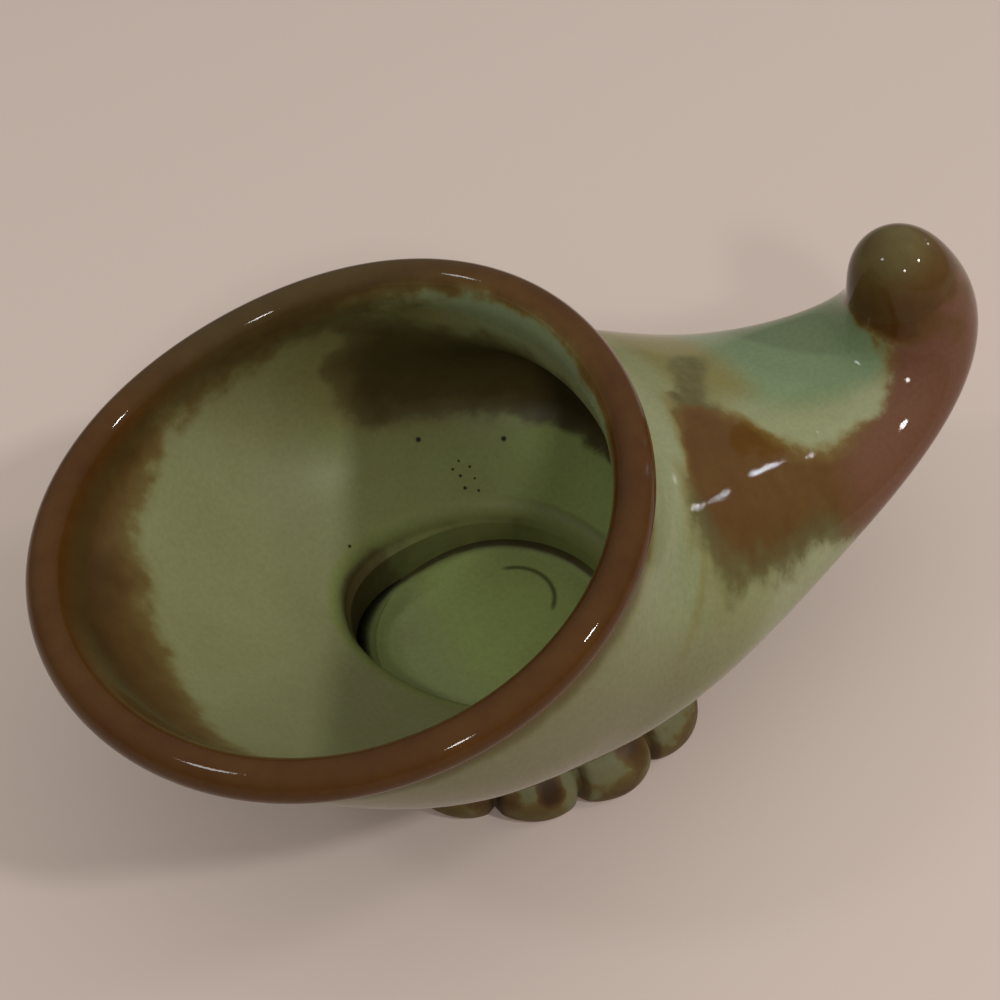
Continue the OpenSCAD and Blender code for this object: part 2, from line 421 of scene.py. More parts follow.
def makeFootRing():
    skin, theta = Skin(), footTurn
    outside, ledge, ledgeTop, bevel = foot["ring"] / 2, foot["ledge"] / 2, foot["ledgeTop"], foot["bevel"]
    flare, belly = outside + foot["fillet"], bellyOver(outside, theta)
    wallTop, corner = polar(outside, theta, belly - foot["fillet"]), polar(outside, theta, belly)
    fillet = roundedEdge(wallTop, corner, polar(flare, theta, bellyOver(flare, theta)), foot["filletSteps"])
    wellTop = wellReach(theta, well["seamHeight"])
    saddle = [flare + (wellTop - flare) * s for s in np.linspace(0, 1, foot["saddleSteps"] + 1)[1:]]
    rows = [polar(outside - bevel, theta, 0.0), polar(outside, theta, bevel), *fillet,
            *(polar(reach, theta, bellyOver(reach, theta)) for reach in saddle),
            polar(wellReach(theta, ledgeTop), theta, ledgeTop),
            polar(ledge, theta, ledgeTop - foot["ledgeFall"]), polar(ledge, theta, 0.0)]
    numbers = skin.add(np.array(rows), ringMark, 0, theta)
    for wallRow in numbers[-4:-2]:  # the well's wall, from the bowl down to the ledge
        skin.face(wallRow, towardsAxis(theta))
    skin.rings(numbers)
    skin.bridge(numbers[-1], numbers[0])
    return skin.piece("footRing")


floor = {"dish": 0.5, "rings": 26, "edgeSteps": 7, "bevel": 0.4, "wallGap": 0.02, "intoRing": 0.3, "under": 1}


def makeFootFloor():
    skin, theta = Skin(), footTurn
    top, edge, gap, bevel = well["floorTop"], well["floorRound"], floor["wallGap"], floor["bevel"]
    reach = wellReach(theta, top)
    shares = np.linspace(0, 1, floor["rings"] + 1)[1:]
    rows = [polar((reach - edge) * s, theta, top - floor["dish"] * (1 - s * s)) for s in shares]
    rise = polar(wellReach(theta, top + edge) - gap, theta, top + edge)
    rows += list(roundedEdge(rows[-1], polar(reach - gap, theta, top), rise, floor["edgeSteps"])[1:])
    side = foot["ledge"] / 2 + floor["intoRing"]
    rows += [polar(np.minimum(reach, side), theta, top - floor["under"]), polar(side, theta, bevel),
             polar(side - bevel, theta, 0.0)]
    numbers = skin.add(np.array(rows), floorMark, 0, theta)
    skin.face(numbers[-4], towardsAxis(theta))
    skin.rings(numbers)
    middle, base = skin.add([[0, 0, top - floor["dish"]], [0, 0, 0]], floorMark)
    skin.fan(numbers[0], middle, turned=True)
    skin.fan(numbers[-1], base)
    return skin.piece("footFloor")


# The scalloped foot: one lobe, set round the ring by a node tree
lobes = {
    "count": 15, "across": 78.8, "radius": 10.5, "height": 11.2, "inside": 28.9, "widest": 3.2,
    "undercut": 1.2, "fullness": 2.3, "groovePaintedShade": 1.1, "grooveWide": 0.9, "grooveSink": 1.4,
    "columns": 28, "edgeSteps": 20, "tuckSteps": 7, "join": 0.01,
    "backShift": 1.6, "turn": -1.5,  # the lobes under the tail stand out further than those under the mouth
}


def lobeSector():  # one lobe between the bottoms of two grooves, under the mouth
    half = math.pi / lobes["count"]
    spread = np.linspace(-half, half, lobes["columns"] + 1)
    crest = lobes["across"] / 2
    pivot = crest - lobes["radius"]
    reach = pivot * np.cos(spread) + np.sqrt(lobes["radius"] ** 2 - (pivot * np.sin(spread)) ** 2)
    groove = np.exp(-((half - abs(spread)) * crest / lobes["grooveWide"]) ** 2)
    reach = reach - lobes["groovePaintedShade"] * groove
    height = lobes["height"] - lobes["grooveSink"] * groove
    inside, widest, under = lobes["inside"], lobes["widest"], lobes["undercut"]
    swing = np.radians(np.linspace(90, 0, lobes["edgeSteps"] + 1))[:, None]
    power = 2 / lobes["fullness"]
    r = inside + (reach - inside) * np.cos(swing).clip(0) ** power
    z = widest + (height - widest) * np.sin(swing).clip(0) ** power
    tuck = np.radians(np.linspace(0, 90, lobes["tuckSteps"] + 1))[1:, None]
    r = np.concatenate([r, reach - under * (1 - np.cos(tuck)), inside + 0 * reach[None]])
    z = np.concatenate([z, widest * (1 - np.sin(tuck)) + 0 * reach, 0 * reach[None]])
    towards = spread + math.pi + math.radians(lobes["turn"])
    points = np.stack([r * np.cos(towards), r * np.sin(towards), z], -1)
    a = np.arange(r.size).reshape(r.shape)
    b = np.roll(a, -1, 0)
    faces = np.stack([a[:, :-1], b[:, :-1], b[:, 1:], a[:, 1:]], -1).reshape(-1, 4)
    mesh = bpy.data.meshes.new("lobeSector")
    mesh.from_pydata((points.reshape(-1, 3) * mm).tolist(), [], faces.tolist())
    obj = bpy.data.objects.new("lobeSector", mesh)
    bpy.context.scene.collection.objects.link(obj)
    return obj


def addNode(tree, kind, settings=None, **inputs):  # inputs by name with _ for a space, or i0, i1 by place
    made = tree.nodes.new(kind)
    for key, value in (settings or {}).items():
        setattr(made, key, value)
    for key, value in inputs.items():
        socket = made.inputs[int(key[1:]) if key[1:].isdigit() else key.replace("_", " ")]
        if isinstance(value, bpy.types.NodeSocket):
            tree.links.new(value, socket)
        else:
            socket.default_value = value
    return made


def lobeTree():
    tree = bpy.data.node_groups.new("scallopedFoot", "GeometryNodeTree")
    tree.interface.new_socket("Geometry", in_out="OUTPUT", socket_type="NodeSocketGeometry")
    identifiers = {}
    for label, kind in (("Lobe", "Object"), ("Lobe count", "Int"), ("Join distance", "Float"),
                        ("Ring radius", "Float"), ("Shift per reach", "Float"), ("Glaze", "Material")):
        socket = tree.interface.new_socket(label, in_out="INPUT", socket_type="NodeSocket" + kind)
        identifiers[label] = socket.identifier
    given = addNode(tree, "NodeGroupInput").outputs

    def sums(operation, first, second, clamp=False):
        settings = {"operation": operation, "use_clamp": clamp}
        return addNode(tree, "ShaderNodeMath", settings, i0=first, i1=second).outputs[0]

    line = addNode(tree, "GeometryNodeMeshLine", {"mode": "OFFSET"},
                   Count=given["Lobe count"], Offset=(0, 0, 0))
    lobe = addNode(tree, "GeometryNodeObjectInfo", Object=given["Lobe"])
    index = addNode(tree, "GeometryNodeInputIndex").outputs[0]
    pitch = sums("DIVIDE", fullTurn, given["Lobe count"])
    turn = addNode(tree, "ShaderNodeCombineXYZ", Z=sums("MULTIPLY", pitch, index))
    ring = addNode(tree, "GeometryNodeInstanceOnPoints", Points=line.outputs["Mesh"],
                   Instance=lobe.outputs["Geometry"], Rotation=turn.outputs[0])
    ring = addNode(tree, "GeometryNodeRealizeInstances", Geometry=ring.outputs["Instances"])
    ring = addNode(tree, "GeometryNodeMergeByDistance", Geometry=ring.outputs["Geometry"],
                   Distance=given["Join distance"])
    place = addNode(tree, "GeometryNodeInputPosition").outputs[0]
    flat = addNode(tree, "ShaderNodeVectorMath", {"operation": "MULTIPLY"}, i0=place, i1=(1, 1, 0))
    reach = addNode(tree, "ShaderNodeVectorMath", {"operation": "LENGTH"}, i0=flat.outputs[0])
    over = sums("SUBTRACT", reach.outputs["Value"], given["Ring radius"], clamp=True)  # the ring's side stays
    shift = addNode(tree, "ShaderNodeCombineXYZ", X=sums("MULTIPLY", over, given["Shift per reach"]))
    ring = addNode(tree, "GeometryNodeSetPosition", Geometry=ring.outputs["Geometry"],
                   Offset=shift.outputs[0])
    ring = addNode(tree, "GeometryNodeSetMaterial", Geometry=ring.outputs["Geometry"],
                   Material=given["Glaze"])
    addNode(tree, "NodeGroupOutput", Geometry=ring.outputs["Geometry"])
    return tree, identifiers


def makeFootLobes(glaze):
    sector = lobeSector()
    tree, identifiers = lobeTree()
    holder = bpy.data.objects.new("footLobes", bpy.data.meshes.new("footLobesStart"))
    bpy.context.scene.collection.objects.link(holder)
    modifier = holder.modifiers.new("scallopedFoot", "NODES")
    modifier.node_group = tree
    lean = lobes["backShift"] / (lobes["across"] / 2 - lobes["inside"])
    sizes = {"Lobe": sector, "Lobe count": lobes["count"], "Join distance": lobes["join"] * mm,
             "Ring radius": lobes["inside"] * mm, "Shift per reach": lean, "Glaze": glaze}
    for label, value in sizes.items():
        modifier[identifiers[label]] = value
    depsgraph = bpy.context.evaluated_depsgraph_get()
    mesh = bpy.data.meshes.new_from_object(holder.evaluated_get(depsgraph))
    holder.modifiers.clear()
    holder.data = mesh
    mesh.name = "footLobes"
    mesh.shade_smooth()
    bpy.data.objects.remove(sector)
    points = np.array([v.co for v in mesh.vertices]) / mm
    skins["footLobes"] = points, np.tile((lobeMark, 0.0, 0.0), (len(points), 1))
    print("footLobes:", len(mesh.vertices), "points,", len(mesh.polygons), "faces")
    return holder


# Where the glaze breaks from green to brown: fields from 0 (green) over 0.5 (the edge) to 1 (brown).
# A pair of numbers says where a shade starts and where it is full.
grains = {  # size in mm and seed of each noise
    "patchEdge": (9, 1), "patchFine": (3.5, 2), "patchTone": (12, 16), "lipEdge": (7, 3), "lipFine": (2.6, 4),
    "lipTone": (12, 8), "throatEdge": (9, 5), "bowlOlive": (14, 6), "bowlMint": (18, 7), "wellTone": (6, 9),
    "tipTone": (8, 10), "floorOlive": (8, 11), "lobeTone": (5, 14), "lobeSpots": (3, 15),
}


def grain(points, label, octaves=3):  # soft noise, about -1 to 1
    size, seed = grains[label]
    shift = Vector((seed * 7.3, seed * 3.1, seed * 5.7))
    return np.array([noise.fractal(Vector(p) / size + shift, 0.8, 2.0, octaves) for p in points])


def soft(value, start, full):
    s = np.clip((value - start) / (full - start), 0, 1)
    return s * s * (3 - 2 * s)


def region(*edges):  # where all the shades named overlap
    return np.prod([soft(value, *pair) for value, pair in edges], 0)


def hill(value, middle, wide):
    return np.exp(-((value - middle) / wide) ** 2)


def facing(theta, degrees, start, full):
    return soft(np.cos(theta - math.radians(degrees)), start, full)


def signedDegrees(angle):  # 0 at the top line, negative on the near side
    return (np.degrees(angle) + 180) % 360 - 180


patch = {  # on the body and tail: degrees down from the top line, at stations along the horn
    "along": [0.26, 0.28, 0.33, 0.40, 0.46, 0.52, 0.56, 0.60, 0.64, 0.70, 0.75, 0.80, 0.86, 0.93, 1.0],
    "upper": [26, 20, 8, 4, 6, 9, 12, 20, 26, 32, 36, 41, 53, 47, 41],
    "lower": [28, 31, 39, 48, 50, 51, 52, 53, 54, 58, 70, 100, 127, 155, 180],
    "start": 0.27, "perStation": 110, "edgeSoft": 24, "lowerSoft": 38, "umber": (0.20, -0.06),
    "ragged": 2.0, "fine": 0.6, "lowerRagged": 1.5, "strength": 0.10, "varies": 0.05,
    "drips": 1.5, "dripAlong": 30, "dripDown": 25, "dripSeed": 4,
    "farShift": 0.06, "farDrop": 34, "farFade": (180, 110),  # on the far side; both sides meet along the keel
}
smear = {  # dark olive above the patch
    "station": 0.50, "degrees": 3, "lean": 0.007, "wide": 0.11, "long": 15, "core": 1.4, "edge": 1.2,
    "ragged": 0.06, "ends": (-8, 6), "strength": 0.42, "umber": (0.2, 0.7), "umberOn": (0.50, 0.44),
}
cap = {  # where the tip's brown ends on the tail
    "edge": 0.985, "dip": 0.025, "dipAt": -42, "dipWide": 22, "perStation": 15, "ragged": 0.15, "most": 0.72,
    "mauveAndReflection": (0.1, -0.2),
}
mauveReflectionSide = {"from": (0.70, 0.80), "down": (-30, -50), "keel": (-180, -120)}  # near side of the tail: mauve, partly the glaze's colour and partly painted reflection of the table
tealTopAndTipShadow = {  # teal on top of the tail, above this line: partly the glaze's colour, partly painted shadow of the tip
    "along": [0.50, 0.60, 0.67, 0.80, 0.87, 0.93, 1.0], "degrees": [0, -7, -8, -17, -24, -36, -40],
    "edge": (-9, 7), "from": (0.54, 0.68), "far": (150, 90),
}
oliveTop = {"from": (0.38, 0.48), "to": (0.72, 0.60), "near": (-10, 2), "far": (60, 30)}
oliveEdge = {"brown": (0.10, 0.42), "to": (0.5, 0.28), "strength": 0.8}  # beside the patch's front
stripe = {"station": 0.284, "wide": 0.022, "low": (-78, -66), "high": (-20, -40), "strength": 0.8}  # pale run
belowBelly = {"degrees": (48, 78), "to": (0.6, 0.3)}  # dusky green
mintBody = {
    "least": 0.25, "front": (0.36, 0.22), "tail": (0.52, 0.62), "strength": 0.75, "lostBelow": 0.9,
    "side": (-26, -44), "sideTo": (0.4, 0.3), "lostAside": 0.6, "sideTeal": 0.35,
}
lipBand = {  # width of the brown below the lip's edge, round the mouth from the back lip
    "round": [0, 25, 45, 58, 70, 80, 95, 110, 122, 131, 147, 155, 159,
              166, 177, 186, 194, 207, 214, 222, 235, 260, 300, 330, 345, 360],
    "wide": [-5, -5, -4, -1, 1, 2, 2, 1.5, 2.5, 5, 6, 10, 13,
             11, 12.5, 11, 9.5, 6.5, 5.5, 2.5, 1, 0.5, 0, -1, -4, -5],
    "level": 0.52, "soft": 27, "ragged": 2.0, "fine": 0.7, "outside": 0.6, "outsideSoft": 14,
}


def lipRagged(points):
    return grain(points, "lipEdge") + lipBand["fine"] * grain(points, "lipFine")


def outsideGlaze(points, station, angle):
    degrees = signedDegrees(angle)
    far = np.where(degrees > 0, soft(degrees, *patch["farFade"]), 0)
    along = station - patch["farShift"] * far
    down = np.abs(degrees) - patch["farDrop"] * far
    perDegree = widthAt(station) * math.pi / 180
    drip = np.array([noise.noise(Vector((t * patch["dripAlong"], d / patch["dripDown"], patch["dripSeed"])))
                     for t, d in zip(along, down)])
    ragged = patch["ragged"] * (grain(points, "patchEdge") + patch["fine"] * grain(points, "patchFine"))
    upper = (down - np.interp(along, patch["along"], patch["upper"])) * perDegree
    upper = (upper + ragged) / patch["edgeSoft"]
    lower = (np.interp(along, patch["along"], patch["lower"]) - down) * perDegree
    lower = (lower + patch["drips"] * drip + patch["lowerRagged"] * ragged) / patch["lowerSoft"]
    start = ((along - patch["start"]) * patch["perStation"] + ragged) / patch["edgeSoft"]
    most = patch["strength"] + patch["varies"] * grain(points, "patchTone")
    brown = 0.5 + np.minimum.reduce([upper, lower, start, most])
    # mauve on the tail's near underside, partly painted reflection of the table
    mauveAndReflection = region((station, mauveReflectionSide["from"]), (degrees, mauveReflectionSide["down"]), (degrees, mauveReflectionSide["keel"]))
    umber = soft(lower, *patch["umber"]) * (1 - mauveAndReflection)
    below = station * lipSpeed(angle, 0.0) - lip["drop"]
    brown = np.maximum(brown, 0.5 + (lipBand["outside"] - below) / lipBand["outsideSoft"])
    drift = (station - smear["station"] - smear["lean"] * (degrees - smear["degrees"])) / smear["wide"]
    smeared = soft(smear["core"] - np.abs(drift) + smear["ragged"] * ragged, 0, smear["edge"])
    smeared *= soft(smear["long"] - np.abs(degrees - smear["degrees"]), *smear["ends"])
    brown = np.maximum(brown, smear["strength"] * smeared)
    umber = np.maximum(umber, region((smeared, smear["umber"]), (brown, smear["umberOn"])))
    capLine = cap["edge"] - cap["dip"] * hill(degrees, cap["dipAt"], cap["dipWide"])
    capped = (station - capLine) * cap["perStation"] + cap["ragged"] * ragged
    brown = np.maximum(brown, np.clip(0.5 + capped, 0, cap["most"]))
    mauveAndReflection = mauveAndReflection * soft(capped, *cap["mauveAndReflection"])
    onTop = region((station, oliveTop["from"]), (station, oliveTop["to"]),
                   (degrees, oliveTop["near"]), (degrees, oliveTop["far"]))
    atEdge = oliveEdge["strength"] * region((brown, oliveEdge["brown"]), (station, oliveEdge["to"]))
    striped = hill(station, stripe["station"], stripe["wide"])
    striped = stripe["strength"] * striped * region((degrees, stripe["low"]), (degrees, stripe["high"]))
    # painted shadow of the tip over the tail's top, in teal, its lower edge along this line
    aboveLine = degrees - np.interp(station, tealTopAndTipShadow["along"], tealTopAndTipShadow["degrees"])
    teal = region((aboveLine, tealTopAndTipShadow["edge"]), (station, tealTopAndTipShadow["from"]), (degrees, tealTopAndTipShadow["far"]))
    dusk = region((np.abs(degrees), belowBelly["degrees"]), (station, belowBelly["to"]))
    aside = mintBody["lostAside"] * region((degrees, mintBody["side"]), (station, mintBody["sideTo"]))
    mint = soft(station, *mintBody["front"]) + soft(station, *mintBody["tail"]) * (1 - teal)
    mint = mintBody["least"] + mintBody["strength"] * mint - mintBody["lostBelow"] * dusk - aside
    return {"brown": brown, "umber": umber, "mauveAndReflection": mauveAndReflection, "mint": mint, "dusk": dusk,
            "olive": np.maximum.reduce([onTop, atEdge, striped]),
            "teal": np.maximum(teal, mintBody["sideTeal"] * aside)}


throat = {  # dark glaze high in the throat, with painted shade where it is deepest: it ends at these degrees from the back lip, at stations
    "along": [0.06, 0.12, 0.20, 0.28, 0.34, 0.40, 0.455, 0.572, 0.63, 0.68, 0.72],
    "degrees": [66, 80, 90, 97, 101, 99, 96, 96, 104, 124, 180],
    "round": [45, 62], "from": [0.13, 0.07], "perStation": 90, "soft": 32, "ragged": 3.0, "fine": 0.5,
    "most": 0.62, "olive": (-14, -2), "oliveStrength": 0.35, "deep": (0, 12), "paintedShadeStrength": 0.14,
}
backStrip = {"degrees": (62, 35), "to": (0.17, 0.09), "mint": 0.8, "teal": 0.7}  # pale, under the back lip
farFront = {"at": 78, "degrees": (48, 14), "to": (0.36, 0.2), "olive": 0.7, "deep": 0.22}  # olive and painted shade, under the lip
bowlTone = {
    "rear": (-30, 0), "rearOlive": 0.40, "frontUmber": 0.4, "frontMint": 0.15, "varies": 0.2,
    "pool": (5, 34), "poolDepth": (0, -6), "poolOlive": 0.8,  # pale green low at the back
    # painted shade on the near wall, and a little all over the inside
    "nearSide": (0.1, 0.6), "nearWallPaintedShade": 0.40, "deep": 0.04, "matte": 0.8,
}


def insideGlaze(points, station, angle):
    x, fromBack = points[:, 0], np.abs(signedDegrees(angle))
    band = np.interp(np.degrees(angle) % 360, lipBand["round"], lipBand["wide"])
    below = station * lipSpeed(angle, wall) - lip["drop"]
    ragged = lipRagged(points)
    brown = lipBand["level"] + (band - below + lipBand["ragged"] * ragged) / lipBand["soft"]
    perDegree = widthAt(station) * math.pi / 180
    edge = (np.interp(station, throat["along"], throat["degrees"]) - fromBack) * perDegree
    start = (station - np.interp(fromBack, throat["round"], throat["from"])) * throat["perStation"]
    depth = np.minimum(edge, start)
    depth = depth + throat["ragged"] * (grain(points, "throatEdge") + throat["fine"] * ragged)
    dark = np.minimum(0.5 + depth / throat["soft"], throat["most"])
    rear = soft(x, *bowlTone["rear"])
    strip = region((fromBack, backStrip["degrees"]), (station, backStrip["to"]))
    upper = region((np.abs(fromBack - farFront["at"]), farFront["degrees"]), (station, farFront["to"]))
    pool = region((x, bowlTone["pool"]), (depth, bowlTone["poolDepth"]))
    mint = bowlTone["frontMint"] * (1 - rear) + bowlTone["varies"] * grain(points, "bowlMint")
    olive = bowlTone["rearOlive"] * rear + throat["oliveStrength"] * soft(depth, *throat["olive"])
    olive = olive + farFront["olive"] * upper + bowlTone["varies"] * grain(points, "bowlOlive")
    # painted shade inside the bowl: in the throat, under the far lip, a little all over, and on the near wall
    deep = throat["paintedShadeStrength"] * soft(depth, *throat["deep"]) + farFront["deep"] * upper + bowlTone["deep"]
    deep = deep + bowlTone["nearWallPaintedShade"] * soft(-np.sin(angle), *bowlTone["nearSide"]) * rear
    return {"brown": np.maximum(brown, dark), "leaf": rear * (1 - strip), "pool": pool, "deep": deep,
            "umber": bowlTone["frontUmber"] + (1 - bowlTone["frontUmber"]) * rear,
            "mint": np.maximum(mint, backStrip["mint"] * strip), "teal": backStrip["teal"] * strip,
            "olive": olive * (1 - bowlTone["poolOlive"] * pool), "matte": bowlTone["matte"]}


lipTone = {
    "raggedFrom": (12, 6), "innerWide": 9, "innerSoft": 14, "beadSoft": 10, "most": 0.30, "varies": 0.05,
    "farAt": 75, "far": (55, 15), "farUmber": 0.75,  # degrees round the mouth from the back lip
    "frontAt": 170, "front": (90, 50), "frontWithin": (9, 4), "frontUmber": 0.9,
    "mint": 0.4, "backMint": 0.4, "bowlFrom": (7, 0.5),
}


def lipGlaze(points, length, angle):
    degrees = np.degrees(angle) % 360
    band = np.interp(degrees, lipBand["round"], lipBand["wide"]) - (lip["insideDrop"] - lip["drop"])
    girth = lip["girth"][np.round(angle / fullTurn * around).astype(int) % around]
    fromInside = girth - length
    ragged = lipBand["ragged"] * lipRagged(points) * soft(fromInside, *lipTone["raggedFrom"])
    softness = np.where(fromInside < lipTone["innerWide"], lipTone["innerSoft"], lipTone["beadSoft"])
    inner = (band + fromInside + ragged) / softness
    outer = (lipBand["outside"] + length) / lipBand["outsideSoft"]
    brown = 0.5 + np.minimum(np.minimum(inner, outer), lipTone["most"])
    brown = brown + lipTone["varies"] * grain(points, "lipTone")
    fromFront = np.abs(degrees - lipTone["frontAt"])
    front = region((fromInside, lipTone["frontWithin"]), (fromFront, lipTone["front"]))
    umber = lipTone["farUmber"] * soft(np.abs(degrees - lipTone["farAt"]), *lipTone["far"])
    back = soft(np.abs(signedDegrees(angle)), *backStrip["degrees"])
    own = {"brown": brown, "umber": umber + lipTone["frontUmber"] * front,
           "mint": lipTone["mint"] + lipTone["backMint"] * back, "teal": backStrip["teal"] * back}
    station = np.clip(lip["insideDrop"] - fromInside, 0, None) / lipSpeed(angle, wall)
    near = soft(fromInside, *lipTone["bowlFrom"])  # the bowl's glaze takes over towards the seam
    return {label: own.get(label, 0) * (1 - near) + value * near
            for label, value in insideGlaze(points, station, angle).items()}


wellTone = {  # a direction is its degrees round the foot and where it starts and is full
    "left": (172, 0.1, 0.9), "far": (110, -0.3, 0.6), "brown": 0.15, "varies": 0.06, "olive": 0.4,
    "roll": (0.1, 1.0), "leftBrown": 0.34, "farBrown": 0.16,
    # painted shade on the well's wall, most on the left
    "wall": (0.3, 1.3), "leftPaintedShade": 0.15, "farPaintedShade": 0.05,
}


def wellGlaze(points, share, theta):
    left, far = facing(theta, *wellTone["left"]), facing(theta, *wellTone["far"])
    rolled = np.maximum(wellTone["leftBrown"] * left, wellTone["farBrown"] * far)
    brown = wellTone["brown"] + soft(share, *wellTone["roll"]) * rolled
    brown = brown + wellTone["varies"] * grain(points, "wellTone")
    # painted shade on the well's wall, from the roll down
    deep = soft(share, *wellTone["wall"]) * np.maximum(wellTone["leftPaintedShade"] * left, wellTone["farPaintedShade"] * far)
    return {"brown": brown, "umber": 1.0, "leaf": 1.0, "olive": wellTone["olive"], "deep": deep, "matte": 1.0}


tipTone = {"crown": (0.15, 0.75), "brown": 0.68, "crownBrown": -0.20, "varies": 0.05, "umber": 0.25,
           "crownUmber": 0.55}


def tipGlaze(points, height):
    crown = soft(height, *tipTone["crown"])
    brown = tipTone["brown"] + tipTone["crownBrown"] * crown + tipTone["varies"] * grain(points, "tipTone")
    return {"brown": brown, "umber": tipTone["umber"] + tipTone["crownUmber"] * crown}


floorTone = {
    "edge": (-0.05, 0.9), "brown": 0.1, "edgeBrown": 0.35, "pool": 0.8, "edgePool": -0.6,
    "far": (95, -0.2, 0.5), "olive": (4, 22), "oliveTurn": 0.3, "rightOlive": 0.2275, "oliveVaries": 0.07,
    "pale": (-4, -16), "paleReach": (24, 17), "mint": 0.55, "topFrom": 3,
    # painted shade by the wall and along the floor's edge
    "shadedMargin": (-6, -4.5), "marginPaintedShade": 0.3, "leftPaintedShade": 0.2, "farPaintedShade": 0.6, "bare": (1.2, 0.2),
}


def floorGlaze(points):
    x, y, z = points.T
    theta, reach = np.arctan2(y, x), np.hypot(x, y)
    edge = soft(z - well["floorTop"], *floorTone["edge"])
    left, far = facing(theta, *wellTone["left"]), facing(theta, *floorTone["far"])
    olive = floorTone["rightOlive"] * soft(x + floorTone["oliveTurn"] * y, *floorTone["olive"])
    fromWall = reach - wellReach(theta, well["floorTop"])
    shadedMargin = floorTone["marginPaintedShade"] * left * soft(fromWall, *floorTone["shadedMargin"])  # painted shade by the well's wall
    # painted shade along the floor's rising edge, strongest as a dark line on the far side
    deep = np.maximum(shadedMargin, edge * np.maximum(floorTone["leftPaintedShade"] * left, floorTone["farPaintedShade"] * far))
    return {"umber": 1.0, "leaf": 1.0, "matte": 1.0,
            "brown": floorTone["brown"] + floorTone["edgeBrown"] * edge,
            "olive": olive + floorTone["oliveVaries"] * grain(points, "floorOlive"),
            "pool": floorTone["pool"] + floorTone["edgePool"] * edge,
            "mint": floorTone["mint"] * region((x, floorTone["pale"]), (reach, floorTone["paleReach"])),
            "deep": np.where(z > floorTone["topFrom"], deep, 0), "bare": soft(z, *floorTone["bare"])}


ringTone = {"wallShare": 1.3, "mint": 0.6, "bare": (1.0, 0.2)}


def ringGlaze(points):
    x, y, z = points.T
    inner = np.hypot(x, y) < foot["ring"] / 2 - foot["bevel"]
    # the well's wall fields, painted shade included
    wallFields = wellGlaze(points, np.full(len(points), ringTone["wallShare"]), np.arctan2(y, x))
    fields = {label: np.where(inner, value, 0.0) for label, value in wallFields.items()}
    fields["mint"] = np.where(inner, 0, ringTone["mint"])
    fields["bare"] = soft(z, *ringTone["bare"])
    return fields


lobeSpots = [  # brown on single lobes: middle, reach and strength
    ((-9.6, -36.2, 7.8), (2.8, 3.6, 4.4), 1.3), ((-19.5, -33, 5), (5, 5, 7), 0.55),
    ((7.2, -35.4, 8.8), (3.8, 4.0, 4.5), 0.7), ((5, -39.5, 2), (8, 3, 4.0), 0.22),
    ((24, -30, 3), (6, 6, 5), 0.25), ((19, -37, 2.5), (7, 4, 4.0), 0.25),
]
lobeTone = {
    "brown": 0.04, "rimBrown": 0.42, "rim": (37, 39.4), "rimEnds": (0.4, 2.4), "varies": 0.08,
    # grooves get painted shade, browner and darker; the lobes are darker all over
    "spot": 0.36, "spotVaries": 0.2, "groove": (1.6, 0.4), "grooveBrownShade": 0.3, "groovePaintedShade": 0.3,
    "umber": 0.2, "dusk": 0.7, "deep": 0.28, "bare": (0.9, 0.2),
}


def lobeGlaze(points):
    x, y, z = points.T
    x = x - lobes["backShift"]
    pitch = 360 / lobes["count"]
    fromGroove = (np.degrees(np.arctan2(y, x)) - lobes["turn"] - 180 + pitch / 2 + 720) % pitch
    fromGroove = np.minimum(fromGroove, pitch - fromGroove) * math.radians(1) * lobes["across"] / 2
    rim = region((np.hypot(x, y), lobeTone["rim"]), (fromGroove, lobeTone["rimEnds"]))
    brown = lobeTone["brown"] + lobeTone["rimBrown"] * rim + lobeTone["varies"] * grain(points, "lobeTone")
    spotted = lobeTone["spot"] + lobeTone["spotVaries"] * grain(points, "lobeSpots")
    for middle, size, strength in lobeSpots:
        away = np.linalg.norm((points - np.array(middle)) / np.array(size), axis=-1)
        brown = np.maximum(brown, spotted + strength * (1 - away))
    # painted shade in the grooves between lobes
    groove = soft(fromGroove, *lobeTone["groove"])
    return {"brown": brown + lobeTone["grooveBrownShade"] * groove, "umber": lobeTone["umber"], "matte": 1.0,
            "dusk": lobeTone["dusk"], "deep": lobeTone["deep"] + lobeTone["groovePaintedShade"] * groove,
            "bare": soft(z, *lobeTone["bare"])}


# deep is painted shade: a near-black colour laid over the glaze where shade falls
glazeFields = ("brown", "umber", "mauveAndReflection", "olive", "mint", "teal",
               "leaf", "pool", "dusk", "deep", "matte", "bare")
glazeRules = [  # mark, rule, and how many of station and angle it is given
    (outsideMark, outsideGlaze, 2), (insideMark, insideGlaze, 2), (lipMark, lipGlaze, 2),
    (wellMark, wellGlaze, 2), (tipMark, tipGlaze, 1), (floorMark, floorGlaze, 0),
    (ringMark, ringGlaze, 0), (lobeMark, lobeGlaze, 0),
]


def glazeOf(name):
    points, marks = skins[name]
    fields = {label: np.zeros(len(points)) for label in glazeFields}
    for mark, rule, given in glazeRules:
        chosen = marks[:, 0] == mark
        if chosen.any():
            for label, value in rule(points[chosen], *marks[chosen].T[1:1 + given]).items():
                fields[label][chosen] = np.clip(value, 0, 1)
    return fields


